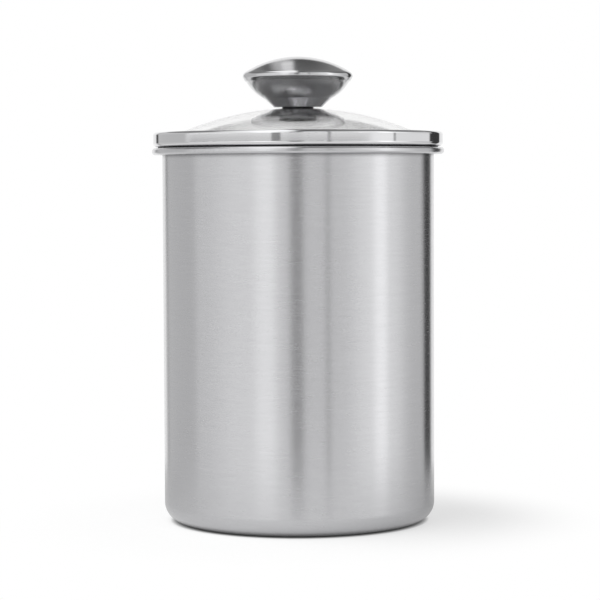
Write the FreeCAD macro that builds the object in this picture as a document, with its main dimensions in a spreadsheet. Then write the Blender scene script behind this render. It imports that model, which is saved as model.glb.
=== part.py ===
# Food canister: drawn steel body, domed glass lid with steel band, gasket and hollow knob.
# Millimetres, +Z up, origin on the floor at the centre of the base, every piece turned about Z.
import FreeCAD
import Part
import math
import os
import types

import Sketcher

# Driving dimensions
DIMENSIONS = {
    # canister
    "body_diameter": 122.0,        # outside of the straight wall
    "canister_height": 167.85,      # floor to the top of the rim
    "sheet_thickness": 0.6,
    "base_corner": 8.4,            # outside bend from base to wall
    "base_ring_width": 6.0,        # flat ring the canister stands on
    "base_step_width": 2.4,        # slope from the ring up to the panel
    "base_recess": 1.0,            # height of the panel above the floor
    "base_step_bend": 0.8,
    "rim_overhang": 4.55,          # rim edge beyond the wall
    "rim_curl_height": 3.0,
    "rim_curl_bend": 1.2,
    "rim_neck_bend": 0.9,          # outside bend from wall to rim
    "rim_hem_gap": 0.6,            # wall to the cut edge of the curl
    # gasket
    "seal_shoulder": 0.4,          # thickness between rim and band
    "seal_shoulder_inset": 1.4,    # shoulder edge inside the flat of the rim
    "seal_root": 2.6,              # thickness between band and glass
    "seal_root_gap": 0.2,          # root to the bend of the band
    "seal_groove_gap": 0.15,       # groove floor to the edge of the band
    "seal_skirt_depth": 8.6,       # skirt below the top of the rim
    "seal_skirt_gap": 1.7,         # skirt to the wall
    "seal_skirt_thickness": 1.6,
    "seal_lip_gap": 0.2,           # lip to the wall
    "seal_lip_height": 1.6,
    "seal_lip_drop": 2.4,          # top of the rim to the upper lip
    "seal_lip_pitch": 3.2,
    "seal_lip_tip": 0.4,           # thickness of a lip at its edge
    # band round the glass
    "band_inset": 0.5,             # band edge inside the rim edge
    "band_sheet": 0.5,
    "band_top_bend": 1.2,
    "band_low_bend": 1.7,
    "band_top_lip": 7.0,
    "band_low_lip": 4.0,
    # glass
    "glass_thickness": 3.0,
    "glass_edge_gap": 0.3,         # glass edge to the inside of the band
    "glass_edge_round": 0.8,
    "glass_hole_diameter": 12.0,
    "brim_show": 4.25,             # brim between the band and the dome
    "dome_rise": 10.9,             # crown of the dome above the band
    "dome_blend": 8.0,             # hollow bend from brim to dome
    # knob
    "knob_diameter": 50.8,         # over the edge before it is rounded
    "knob_height": 22.65,          # foot to crown
    "knob_sheet": 0.4,
    "crown_rise": 8.1,             # edge of the knob to its crown
    "knob_edge_round": 2.0,
    "hem_height": 2.9,
    "hem_fold": 0.78,              # inside of the fold from the knob edge, before rounding
    "seam_gap": 0.05,              # hem to bowl
    "bowl_trim": 1.4,              # cut edge of the bowl below the fold
    "foot_diameter": 21.6,
    "foot_waist_diameter": 30.4,   # where the foot cone meets the bowl
    "foot_height": 3.9,
    "bowl_bulge": 1.32,            # swell of the bowl from waist to hem
    # fastening
    "knob_washer_diameter": 14.0,
    "knob_washer_thickness": 0.3,
    "grommet_diameter": 16.6,
    "grommet_flange": 0.5,
    "grommet_sleeve_gap": 0.1,     # sleeve to the hole in the glass
    "lower_washer_diameter": 17.0,
    "lower_washer_thickness": 1.5,
    "lower_washer_round": 0.4,
    "screw_diameter": 4.0,
    "screw_head_diameter": 7.2,
    "screw_bore_gap": 0.3,         # shank to the bores it passes
    "screw_seat_gap": 0.05,        # head to its countersink, thread to the nut
    "screw_proud": 0.5,            # tip above the nut
    "drive_span": 4.0,             # cross recess, tip to tip
    "drive_slot": 1.1,
    "drive_depth": 1.5,
    "nut_flats": 7.0,
    "nut_height": 4.0,
    "nut_flange_diameter": 11.0,
    "nut_flange_thickness": 1.0,
}

doc = FreeCAD.newDocument("food_canister")
sheet = doc.addObject("Spreadsheet::Sheet", "dims")
for row, (alias, value) in enumerate(DIMENSIONS.items(), start=1):
    sheet.set(f"A{row}", str(value))
    sheet.setAlias(f"A{row}", alias)
doc.recompute()


class Size:
    """A length: its value now, and the spreadsheet expression that gives it."""

    def __init__(self, value, text):
        self.value = float(value)
        self.text = text

    def __add__(self, other):
        return Size(self.value + other.value, f"({self.text} + {other.text})")

    def __sub__(self, other):
        return Size(self.value - other.value, f"({self.text} - {other.text})")

    def __mul__(self, other):
        return Size(self.value * other.value, f"({self.text} * {other.text})")

    def __truediv__(self, other):
        return Size(self.value / other.value, f"({self.text} / {other.text})")

    def root(self):
        return Size(math.sqrt(self.value), f"sqrt({self.text})")


def number(value):
    return Size(value, str(value))


def half(length):
    return length / number(2)


def arc_height(radius, reach):
    """Height of a circle of this radius above its centre, at this reach from its axis."""
    return (radius * radius - reach * reach).root()


def cap_radius(reach, rise):
    """Radius of the sphere whose cap has this half width and this rise."""
    return (reach * reach + rise * rise) / (number(2) * rise)


d = types.SimpleNamespace(**{
    alias: Size(sheet.get(alias), f"dims.{alias}") for alias in DIMENSIONS})
ZERO = number(0)


class Corner:
    """A corner of an outline: place, bend, and the radius and turn of the edge that follows."""

    def __init__(self, r, z, bend=None, arc=None, turn=1):
        self.r = r
        self.z = z
        self.bend = bend
        self.arc = arc
        self.turn = turn
        self.point = FreeCAD.Vector(r.value, z.value, 0)


# Sketches and features
def new_body(label):
    body = doc.addObject("PartDesign::Body", label)
    body.Label = label
    return body


def origin_plane(body, role):
    return next(item for item in body.Origin.OriginFeatures if item.Role == role)


def new_sketch(body, name, role, height=None):
    sketch = body.newObject("Sketcher::SketchObject", name)
    sketch.AttachmentSupport = [(origin_plane(body, role), "")]
    sketch.MapMode = "FlatFace"
    if height is not None:
        sketch.AttachmentOffset = FreeCAD.Placement(
            FreeCAD.Vector(0, 0, height.value), FreeCAD.Rotation())
        sketch.setExpression("AttachmentOffset.Base.z", height.text)
    return sketch


def hold(sketch, kind, places, size):
    """Add a dimension to a sketch and bind it to its expression."""
    index = sketch.addConstraint(Sketcher.Constraint(kind, *places, size.value))
    sketch.setExpression(f"Constraints[{index}]", size.text)


def hold_point(sketch, geometry, end, corner):
    hold(sketch, "DistanceX", (-1, 1, geometry, end), corner.r)
    hold(sketch, "DistanceY", (-1, 1, geometry, end), corner.z)


def add_arc(sketch, centre, start, finish, turn):
    """Arc from start to finish; gives its index and the ends that are its start and finish."""
    first, last = (start, finish) if turn > 0 else (finish, start)
    angles = [math.atan2(p.y - centre.y, p.x - centre.x) for p in (first, last)]
    circle = Part.Circle(centre, FreeCAD.Vector(0, 0, 1), (start - centre).Length)
    index = sketch.addGeometry(Part.ArcOfCircle(circle, angles[0], angles[1]), False)
    return (index, 1, 2) if turn > 0 else (index, 2, 1)


def bend_places(before, corner, after):
    """Centre, tangent points and turn of the round at a corner between two straight edges."""
    back = (before.point - corner.point).normalize()
    ahead = (after.point - corner.point).normalize()
    angle = back.getAngle(ahead)
    reach = corner.bend.value / math.tan(angle / 2)
    middle = (back + ahead).normalize() * (corner.bend.value / math.sin(angle / 2))
    turn = 1 if back.cross(ahead).z < 0 else -1
    return corner.point + middle, corner.point + back * reach, corner.point + ahead * reach, turn


def draw_outline(sketch, corners):
    """Closed outline of lines and arcs through the corners, fully held by their sizes."""
    count = len(corners)
    rounds = {}
    for i, corner in enumerate(corners):
        if corner.bend is not None:
            rounds[i] = bend_places(corners[i - 1], corner, corners[(i + 1) % count])
    edges = []
    for i, corner in enumerate(corners):
        j = (i + 1) % count
        start = rounds[i][2] if i in rounds else corner.point
        finish = rounds[j][1] if j in rounds else corners[j].point
        if corner.arc is None:
            edges.append((sketch.addGeometry(Part.LineSegment(start, finish), False), 1, 2))
        else:
            chord = finish - start
            side = FreeCAD.Vector(-chord.y, chord.x, 0).normalize() * corner.turn
            depth = math.sqrt(corner.arc.value ** 2 - (chord.Length / 2) ** 2)
            centre = start + chord * 0.5 + side * depth
            edges.append(add_arc(sketch, centre, start, finish, corner.turn))
    for i, corner in enumerate(corners):
        into, into_end = edges[i - 1][0], edges[i - 1][2]
        out, out_end = edges[i][0], edges[i][1]
        if i in rounds:
            mark = sketch.addGeometry(Part.Point(corner.point), True)
            hold_point(sketch, mark, 1, corner)
            centre, start, finish, turn = rounds[i]
            bend, first, last = add_arc(sketch, centre, start, finish, turn)
            sketch.addConstraint(Sketcher.Constraint("Tangent", into, into_end, bend, first))
            sketch.addConstraint(Sketcher.Constraint("Tangent", bend, last, out, out_end))
            sketch.addConstraint(Sketcher.Constraint("PointOnObject", mark, 1, into))
            sketch.addConstraint(Sketcher.Constraint("PointOnObject", mark, 1, out))
            hold(sketch, "Radius", (bend,), corner.bend)
        else:
            sketch.addConstraint(Sketcher.Constraint("Coincident", into, into_end, out, out_end))
            hold_point(sketch, out, out_end, corner)
    for i, corner in enumerate(corners):
        if corner.arc is not None:
            hold(sketch, "Radius", (edges[i][0],), corner.arc)


def draw_circle(sketch, radius):
    circle = Part.Circle(FreeCAD.Vector(0, 0, 0), FreeCAD.Vector(0, 0, 1), radius.value)
    index = sketch.addGeometry(circle, False)
    sketch.addConstraint(Sketcher.Constraint("Coincident", index, 3, -1, 1))
    hold(sketch, "Radius", (index,), radius)


def turned(body, corners):
    """Revolve an outline about the body's Z axis."""
    sketch = new_sketch(body, f"{body.Label}_outline", "XZ_Plane")
    draw_outline(sketch, corners)
    revolution = body.newObject("PartDesign::Revolution", f"{body.Label}_turned")
    revolution.Profile = sketch
    revolution.ReferenceAxis = (sketch, ["V_Axis"])
    revolution.Angle = 360
    doc.recompute()
    return revolution


def rounded(body, base, name, radius, rings):
    """Fillet the ring edges that lie at the given places."""
    names = []
    for r, z in rings:
        for index, edge in enumerate(base.Shape.Edges, start=1):
            if edge.Degenerated or not isinstance(edge.Curve, Part.Circle):
                continue
            if (math.isclose(edge.Curve.Radius, r.value, abs_tol=1e-4)
                    and math.isclose(edge.Curve.Center.z, z.value, abs_tol=1e-4)):
                names.append(f"Edge{index}")
    if len(names) != len(rings):
        raise RuntimeError(f"{body.Label}: found {len(names)} of {len(rings)} edges for {name}")
    fillet = body.newObject("PartDesign::Fillet", name)
    fillet.Base = (base, names)
    fillet.Radius = radius.value
    fillet.setExpression("Radius", radius.text)
    doc.recompute()
    return fillet


def padded(body, sketch, name, length):
    pad = body.newObject("PartDesign::Pad", name)
    pad.Profile = sketch
    pad.Length = length.value
    pad.setExpression("Length", length.text)
    doc.recompute()
    return pad


def pocketed(body, sketch, name, length):
    """Cut a sketch upwards; the solid must lose volume."""
    before = body.Shape.Volume
    pocket = body.newObject("PartDesign::Pocket", name)
    pocket.Profile = sketch
    pocket.Reversed = True
    pocket.Length = length.value
    pocket.setExpression("Length", length.text)
    doc.recompute()
    if body.Shape.Volume >= before:
        raise RuntimeError(f"{body.Label}: {name} cuts nothing")
    return pocket


# Places shared by several pieces
body_radius = half(d.body_diameter)
bore_radius = body_radius - d.sheet_thickness
rim_top = d.canister_height
rim_radius = body_radius + d.rim_overhang
band_radius = rim_radius - d.band_inset
band_inside = band_radius - d.band_sheet
band_low = rim_top + d.seal_shoulder
band_low_inside = band_low + d.band_sheet
brim_low = band_low_inside + d.seal_root
brim_top = brim_low + d.glass_thickness
band_top = brim_top + d.band_sheet
band_top_edge = band_radius - d.band_top_lip
band_low_edge = band_radius - d.band_low_lip
dome_reach = band_top_edge - d.brim_show
dome_top = band_top + d.dome_rise
dome_radius = cap_radius(dome_reach, d.dome_rise + d.band_sheet)
dome_centre = dome_top - dome_radius
dome_inside = dome_radius - d.glass_thickness
hole_radius = half(d.glass_hole_diameter)
grommet_low = dome_top - d.glass_thickness - d.grommet_flange
screw_low = grommet_low - d.lower_washer_thickness
screw_radius = half(d.screw_diameter)
screw_bore = screw_radius + d.screw_bore_gap
knob_low = dome_top + d.knob_washer_thickness
knob_floor = knob_low + d.knob_sheet
knob_top = knob_low + d.knob_height
nut_top = knob_floor + d.nut_height
knob_radius = half(d.knob_diameter)
crown_radius = cap_radius(knob_radius, d.crown_rise)
crown_centre = knob_top - crown_radius
crown_inside = crown_radius - d.knob_sheet
knob_edge = knob_top - d.crown_rise
fold_radius = knob_radius - d.hem_fold
fold_height = crown_centre + arc_height(crown_inside, fold_radius)
waist_radius = half(d.foot_waist_diameter)
waist_height = knob_low + d.foot_height
mouth_radius = fold_radius - d.seam_gap
mouth_height = fold_height - d.seam_gap
chord_out = mouth_radius - waist_radius
chord_up = mouth_height - waist_height
chord = (chord_out * chord_out + chord_up * chord_up).root()
bowl_radius = cap_radius(half(chord), d.bowl_bulge)
bowl_depth = bowl_radius - d.bowl_bulge
bowl_centre_radius = half(mouth_radius + waist_radius) - bowl_depth * chord_up / chord
bowl_centre_height = half(mouth_height + waist_height) + bowl_depth * chord_out / chord
bowl_top = mouth_height - d.bowl_trim
bowl_top_radius = bowl_centre_radius + arc_height(bowl_radius, bowl_top - bowl_centre_height)
hem_low = knob_edge - d.hem_height
hem_radius = (bowl_centre_radius + arc_height(bowl_radius, hem_low - bowl_centre_height)
              + d.seam_gap)


# Canister body
body = new_body("canister_body")
ring_outer = body_radius - d.base_corner
ring_inner = ring_outer - d.base_ring_width
panel_radius = ring_inner - d.base_step_width
flange_low = rim_top - d.sheet_thickness
curl_low = rim_top - d.rim_curl_height
curl_low_inside = curl_low + d.sheet_thickness
curl_edge = body_radius + d.rim_hem_gap
curl_inside = d.rim_curl_bend - d.sheet_thickness
turned(body, [
    Corner(ZERO, d.base_recess),
    Corner(panel_radius, d.base_recess, bend=d.base_step_bend),
    Corner(ring_inner, ZERO, bend=d.base_step_bend),
    Corner(body_radius, ZERO, bend=d.base_corner),
    Corner(body_radius, flange_low, bend=d.rim_neck_bend),
    Corner(rim_radius - d.sheet_thickness, flange_low, bend=curl_inside),
    Corner(rim_radius - d.sheet_thickness, curl_low_inside, bend=curl_inside),
    Corner(curl_edge, curl_low_inside),
    Corner(curl_edge, curl_low),
    Corner(rim_radius, curl_low, bend=d.rim_curl_bend),
    Corner(rim_radius, rim_top, bend=d.rim_curl_bend),
    Corner(bore_radius, rim_top, bend=d.rim_neck_bend + d.sheet_thickness),
    Corner(bore_radius, d.sheet_thickness, bend=d.base_corner - d.sheet_thickness),
    Corner(ring_inner, d.sheet_thickness, bend=d.base_step_bend),
    Corner(panel_radius, d.base_recess + d.sheet_thickness, bend=d.base_step_bend),
    Corner(ZERO, d.base_recess + d.sheet_thickness),
])

# Gasket clipped to the band
body = new_body("lid_gasket")
skirt_outer = bore_radius - d.seal_skirt_gap
skirt_inner = skirt_outer - d.seal_skirt_thickness
skirt_low = rim_top - d.seal_skirt_depth
shoulder_edge = rim_radius - d.rim_curl_bend - d.seal_shoulder_inset
groove_floor = band_low_edge - d.seal_groove_gap
root_edge = band_radius - d.band_low_bend - d.seal_root_gap
lip_edge = bore_radius - d.seal_lip_gap
lip_one = rim_top - d.seal_lip_drop
lip_two = lip_one - d.seal_lip_pitch
turned(body, [
    Corner(skirt_inner, brim_low),
    Corner(skirt_inner, skirt_low),
    Corner(skirt_outer, skirt_low),
    Corner(skirt_outer, lip_two - d.seal_lip_height),
    Corner(lip_edge, lip_two - d.seal_lip_tip),
    Corner(lip_edge, lip_two),
    Corner(skirt_outer, lip_two),
    Corner(skirt_outer, lip_one - d.seal_lip_height),
    Corner(lip_edge, lip_one - d.seal_lip_tip),
    Corner(lip_edge, lip_one),
    Corner(skirt_outer, lip_one),
    Corner(skirt_outer, rim_top),
    Corner(shoulder_edge, rim_top),
    Corner(shoulder_edge, band_low),
    Corner(groove_floor, band_low),
    Corner(groove_floor, band_low_inside),
    Corner(root_edge, band_low_inside),
    Corner(root_edge, brim_low),
])

# Band folded round the edge of the glass
body = new_body("lid_band")
turned(body, [
    Corner(band_low_edge, band_low),
    Corner(band_radius, band_low, bend=d.band_low_bend),
    Corner(band_radius, band_top, bend=d.band_top_bend),
    Corner(band_top_edge, band_top),
    Corner(band_top_edge, brim_top),
    Corner(band_inside, brim_top, bend=d.band_top_bend - d.band_sheet),
    Corner(band_inside, band_low_inside, bend=d.band_low_bend - d.band_sheet),
    Corner(band_low_edge, band_low_inside),
])

# Domed glass
body = new_body("lid_glass")
glass_edge = band_inside - d.glass_edge_gap
dome_reach_inside = (dome_inside * dome_inside
                     - (brim_low - dome_centre) * (brim_low - dome_centre)).root()
glass = turned(body, [
    Corner(dome_reach, brim_top, arc=dome_radius),
    Corner(hole_radius, dome_centre + arc_height(dome_radius, hole_radius)),
    Corner(hole_radius, dome_centre + arc_height(dome_inside, hole_radius), arc=dome_inside, turn=-1),
    Corner(dome_reach_inside, brim_low),
    Corner(glass_edge, brim_low),
    Corner(glass_edge, brim_top),
])
glass = rounded(body, glass, "glass_edge", d.glass_edge_round,
                [(glass_edge, brim_low), (glass_edge, brim_top)])
glass = rounded(body, glass, "dome_hollow", d.dome_blend, [(dome_reach, brim_top)])
glass = rounded(body, glass, "dome_shoulder", d.dome_blend + d.glass_thickness,
                [(dome_reach_inside, brim_low)])

# Washer between knob and glass
body = new_body("knob_washer")
washer_edge = half(d.knob_washer_diameter)
turned(body, [
    Corner(washer_edge, dome_centre + arc_height(dome_radius, washer_edge), arc=dome_radius),
    Corner(screw_bore, dome_centre + arc_height(dome_radius, screw_bore)),
    Corner(screw_bore, knob_low),
    Corner(washer_edge, knob_low),
])

# Grommet under the glass, with a sleeve in its hole
body = new_body("lid_grommet")
grommet_edge = half(d.grommet_diameter)
sleeve_edge = hole_radius - d.grommet_sleeve_gap
turned(body, [
    Corner(grommet_edge, grommet_low),
    Corner(grommet_edge, dome_centre + arc_height(dome_inside, grommet_edge), arc=dome_inside),
    Corner(sleeve_edge, dome_centre + arc_height(dome_inside, sleeve_edge)),
    Corner(sleeve_edge, dome_centre + arc_height(dome_radius, sleeve_edge), arc=dome_radius),
    Corner(screw_bore, dome_centre + arc_height(dome_radius, screw_bore)),
    Corner(screw_bore, grommet_low),
])

# Countersunk washer under the grommet
body = new_body("lower_washer")
head_radius = half(d.screw_head_diameter)
seat_low = head_radius + d.screw_seat_gap
plate_edge = half(d.lower_washer_diameter)
plate = turned(body, [
    Corner(seat_low, screw_low),
    Corner(plate_edge, screw_low),
    Corner(plate_edge, grommet_low),
    Corner(seat_low - d.lower_washer_thickness, grommet_low),
])
plate = rounded(body, plate, "plate_edge", d.lower_washer_round,
                [(plate_edge, screw_low), (plate_edge, grommet_low)])

# Screw with a cross recess
body = new_body("knob_screw")
cone_top = screw_low + head_radius - screw_radius
screw_top = nut_top + d.screw_proud
turned(body, [
    Corner(ZERO, screw_low),
    Corner(head_radius, screw_low),
    Corner(screw_radius, cone_top),
    Corner(screw_radius, screw_top - d.screw_proud),
    Corner(screw_radius - d.screw_proud, screw_top),
    Corner(ZERO, screw_top),
])
tip = half(d.drive_span)
side = half(d.drive_slot)
cross = new_sketch(body, "drive_cross", "XY_Plane", screw_low)
draw_outline(cross, [
    Corner(tip, ZERO - side),
    Corner(tip, side),
    Corner(side, side),
    Corner(side, tip),
    Corner(ZERO - side, tip),
    Corner(ZERO - side, side),
    Corner(ZERO - tip, side),
    Corner(ZERO - tip, ZERO - side),
    Corner(ZERO - side, ZERO - side),
    Corner(ZERO - side, ZERO - tip),
    Corner(side, ZERO - tip),
    Corner(side, ZERO - side),
])
pocketed(body, cross, "drive_recess", d.drive_depth)

# Nut on the floor of the knob
body = new_body("knob_nut")
flange = new_sketch(body, "nut_flange", "XY_Plane", knob_floor)
draw_circle(flange, half(d.nut_flange_diameter))
padded(body, flange, "nut_flange_pad", d.nut_flange_thickness)
hexagon = new_sketch(body, "nut_hexagon", "XY_Plane", knob_floor)
flat = half(d.nut_flats)
point = d.nut_flats / number(3).root()
draw_outline(hexagon, [
    Corner(point, ZERO),
    Corner(half(point), flat),
    Corner(ZERO - half(point), flat),
    Corner(ZERO - point, ZERO),
    Corner(ZERO - half(point), ZERO - flat),
    Corner(half(point), ZERO - flat),
])
padded(body, hexagon, "nut_hexagon_pad", d.nut_height)
thread = new_sketch(body, "nut_thread", "XY_Plane", knob_floor)
draw_circle(thread, screw_radius + d.screw_seat_gap)
pocketed(body, thread, "nut_thread_bore", d.nut_height)

# Bowl of the knob, sheet of even thickness from foot to hem
body = new_body("knob_bowl")
foot_radius = half(d.foot_diameter)
foot_out = waist_radius - foot_radius
foot_slant = (foot_out * foot_out + d.foot_height * d.foot_height).root()
foot_inside = foot_radius - d.knob_sheet * (foot_slant - foot_out) / d.foot_height
bowl_inside = bowl_radius - d.knob_sheet
to_foot_out = foot_inside - bowl_centre_radius
to_foot_up = knob_floor - bowl_centre_height
along = (to_foot_out * foot_out + to_foot_up * d.foot_height) / foot_slant
beyond = to_foot_out * to_foot_out + to_foot_up * to_foot_up - bowl_inside * bowl_inside
reach = (ZERO - along - (along * along - beyond).root()) / foot_slant
bowl_top_inside = bowl_centre_radius + arc_height(bowl_inside, bowl_top - bowl_centre_height)
turned(body, [
    Corner(screw_bore, knob_low),
    Corner(foot_radius, knob_low),
    Corner(waist_radius, waist_height, arc=bowl_radius),
    Corner(bowl_top_radius, bowl_top),
    Corner(bowl_top_inside, bowl_top, arc=bowl_inside, turn=-1),
    Corner(foot_inside + foot_out * reach, knob_floor + d.foot_height * reach),
    Corner(foot_inside, knob_floor),
    Corner(screw_bore, knob_floor),
])

# Crown of the knob, hemmed round the bowl
body = new_body("knob_cap")
crown = turned(body, [
    Corner(ZERO, knob_top - d.knob_sheet, arc=crown_inside, turn=-1),
    Corner(fold_radius, fold_height, arc=bowl_radius, turn=-1),
    Corner(hem_radius, hem_low),
    Corner(hem_radius + d.knob_sheet, hem_low),
    Corner(knob_radius, knob_edge, arc=crown_radius),
    Corner(ZERO, knob_top),
])
crown = rounded(body, crown, "knob_edge", d.knob_edge_round, [(knob_radius, knob_edge)])
crown = rounded(body, crown, "knob_fold", d.knob_edge_round - d.knob_sheet,
                [(fold_radius, fold_height)])

# Checks and STEP files
doc.recompute()
os.makedirs("parts", exist_ok=True)
for item in doc.Objects:
    if "Invalid" in item.State or "Error" in item.State:
        raise RuntimeError(f"{item.Name}: {item.State}")
for body in doc.findObjects("PartDesign::Body"):
    if body.Shape.isNull() or not body.Shape.isValid() or len(body.Shape.Solids) != 1:
        raise RuntimeError(f"{body.Label}: bad shape")
    body.Shape.exportStep(f"parts/{body.Label}.step")
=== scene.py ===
import math

import bpy
from mathutils import Matrix, Vector


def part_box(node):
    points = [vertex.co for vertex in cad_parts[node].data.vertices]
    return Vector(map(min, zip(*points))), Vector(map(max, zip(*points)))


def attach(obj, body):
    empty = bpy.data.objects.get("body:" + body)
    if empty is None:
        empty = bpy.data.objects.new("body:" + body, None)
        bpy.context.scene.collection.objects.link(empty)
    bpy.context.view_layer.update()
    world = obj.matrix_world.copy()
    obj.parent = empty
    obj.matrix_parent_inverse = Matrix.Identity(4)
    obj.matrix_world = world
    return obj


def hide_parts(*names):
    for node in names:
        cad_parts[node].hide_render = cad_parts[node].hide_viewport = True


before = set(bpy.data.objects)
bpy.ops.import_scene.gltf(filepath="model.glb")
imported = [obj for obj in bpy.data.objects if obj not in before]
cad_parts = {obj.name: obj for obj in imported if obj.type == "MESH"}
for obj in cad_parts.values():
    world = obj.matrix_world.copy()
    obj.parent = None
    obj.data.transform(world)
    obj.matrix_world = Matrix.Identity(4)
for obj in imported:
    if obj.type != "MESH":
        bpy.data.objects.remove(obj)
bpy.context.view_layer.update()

bl_info = {
    "name": "Food canister",
    "version": (1, 0, 0),
    "blender": (4, 5, 0),
    "location": "3D View > Sidebar > Canister",
    "description": "Steel canister with a domed glass lid, dressed over its CAD frame",
    "category": "Object",
}

MM = 0.001
SPINDLE = 0.1                    # radius of the circle that the sections are swept along, metres
POLE_MERGE = 1e-6                # points closer than this become one, metres
LONG_STRAIGHT = 1.6 * MM         # straights longer than this get extra points
HOLD_GAP = 0.15 * MM             # end of a straight to its extra point
SHARP_ANGLE = math.radians(38)   # edges that turn by more stay sharp

LOW, HIGH = 0, 1                 # corners of a box
X, Z = 0, 2                      # axes of a corner


# Properties
def length(name, description, millimetres):
    """Length property with a default in millimetres."""
    return bpy.props.FloatProperty(
        name=name, description=description, default=millimetres * MM, min=0.0,
        precision=5, unit="LENGTH", subtype="DISTANCE")


def linear(code):
    """sRGB hex code to linear red, green and blue."""
    channels = [int(code[i:i + 2], 16) / 255 for i in (1, 3, 5)]
    return tuple(c / 12.92 if c <= 0.04045 else ((c + 0.055) / 1.055) ** 2.4 for c in channels)


def colour(name, description, code):
    """Colour property with a default in sRGB hex."""
    return bpy.props.FloatVectorProperty(
        name=name, description=description, default=linear(code), size=3,
        min=0.0, max=1.0, subtype="COLOR")


class CanisterSizes(bpy.types.PropertyGroup):
    """Sizes of the canister and its lid."""
    body_radius: length("Body radius", "Outside of the straight wall", 61.0)
    sheet: length("Body sheet", "Thickness of the drawn sheet", 0.6)
    base_corner: length("Base corner", "Outside bend from base to wall", 8.4)
    base_ring: length("Base ring", "Width of the ring it stands on", 6.0)
    base_step: length("Base step", "Width of the slope up to the panel", 2.4)
    base_recess: length("Base recess", "Height of the panel above the floor", 1.0)
    rim_height: length("Rim height", "Height of the curled rim", 3.0)
    rim_bend: length("Rim bend", "Outside bend of the curl", 1.2)
    neck_bend: length("Neck bend", "Bend from wall to rim", 0.9)
    rim_gap: length("Rim gap", "Wall to the cut edge of the curl", 0.6)
    shoulder_inset: length("Shoulder inset", "Bend of the rim to the gasket's shoulder", 1.4)
    skirt_gap: length("Skirt gap", "Canister wall to the gasket's skirt", 1.7)
    skirt_sheet: length("Skirt thickness", "Thickness of the gasket's skirt", 1.6)
    lip_gap: length("Lip gap", "Canister wall to the tips of the lips", 0.2)
    lip_tip: length("Lip tip", "Height of a lip at its tip", 0.4)
    lip_root: length("Lip root", "Height of a lip where it joins the skirt", 1.6)
    upper_lip: length("Upper lip", "Rim down to the upper lip", 2.4)
    lower_lip: length("Lower lip", "Rim down to the lower lip", 5.6)
    groove_gap: length("Groove gap", "Lower lip of the band to the bottom of the groove", 0.15)
    bead_gap: length("Bead gap", "Lower bend of the band to the gasket's bead", 0.2)
    band_sheet: length("Band sheet", "Thickness of the band round the glass", 0.5)
    band_top_bend: length("Band top bend", "Upper bend of the band", 1.2)
    band_low_bend: length("Band low bend", "Lower bend of the band", 1.7)
    band_top_lip: length("Band top lip", "Width of the upper lip", 7.0)
    band_low_lip: length("Band low lip", "Width of the lower lip", 4.0)
    glass: length("Glass thickness", "Thickness of the tempered glass", 3.0)
    glass_edge: length("Glass edge", "Round of the glass edge", 0.8)
    glass_hole: length("Glass hole", "Radius of the hole for the grommet", 6.0)
    brim_show: length("Brim", "Flat glass between the band and the dome", 4.25)
    dome_rise: length("Dome rise", "Crown of the dome above the band", 10.9)
    dome_blend: length("Dome blend", "Hollow bend from brim to dome", 8.0)
    knob_radius: length("Knob radius", "Edge of the knob before it is rounded", 25.4)
    knob_edge: length("Knob edge", "Round of the knob's edge", 2.0)
    knob_sheet: length("Knob sheet", "Thickness of the knob's sheet", 0.4)
    crown_rise: length("Crown rise", "Edge of the knob to its crown", 8.1)
    hem_fold: length("Hem fold", "Knob edge to the inside of the fold", 0.78)
    seam_gap: length("Seam gap", "Crown to bowl inside the fold", 0.05)
    foot_radius: length("Foot radius", "Foot of the knob", 10.8)
    waist_radius: length("Waist radius", "Where the foot cone meets the bowl", 15.2)
    foot_height: length("Foot height", "Height of the foot cone", 3.9)
    bowl_bulge: length("Bowl bulge", "Swell of the bowl from waist to hem", 1.32)
    screw_bore: length("Screw bore", "Radius of the bores the screw passes", 2.3)
    sleeve_gap: length("Sleeve gap", "Hole of the glass to the grommet's sleeve", 0.1)
    washer_seat: length("Washer seat", "Radius of the countersink at its mouth", 3.65)


class CanisterColours(bpy.types.PropertyGroup):
    """Colours of the finishes."""
    body_steel: colour("Body steel", "Brushed stainless steel, on the ridges", "#CCCCCE")
    body_line: colour("Body line", "Brushed stainless steel, in the lines", "#C5C5C7")
    band_steel: colour("Band steel", "Polished stainless steel", "#DDDDDE")
    band_line: colour("Band line", "Polished stainless steel, in the roll lines", "#D8D8DA")
    knob_steel: colour("Knob steel", "Spun stainless steel", "#CECECF")
    knob_line: colour("Knob line", "Spun stainless steel, in the rings", "#C6C6C8")
    bowl_steel: colour("Bowl steel", "Satin stainless steel under the knob", "#DCDCDD")
    bowl_line: colour("Bowl line", "Satin stainless steel, in the rings", "#D4D4D6")
    hardware_steel: colour("Hardware steel", "Plain stainless steel", "#B4B4B5")
    hardware_dull: colour("Hardware dull", "Plain stainless steel, dull patches", "#A3A3A3")
    glass_clear: colour("Glass", "Tempered glass", "#FDFDFD")
    # Charcoal silicone colour that is partly painted shade: it stands in for the shade in the gaps
    # under the lid band and under the knob's foot.
    silicone_gap_shade: colour("Silicone", "Food grade silicone, charcoal", "#37383A")
    silicone_bloom: colour("Silicone bloom", "Bloom on the charcoal silicone", "#47484A")
    silicone_grey: colour("Grey silicone", "Food grade silicone, mid grey", "#949594")
    grey_bloom: colour("Grey bloom", "Bloom on the grey silicone", "#A2A3A2")
    floor_white: colour("Floor", "Plain pale floor", "#E6E6E6")


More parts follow.
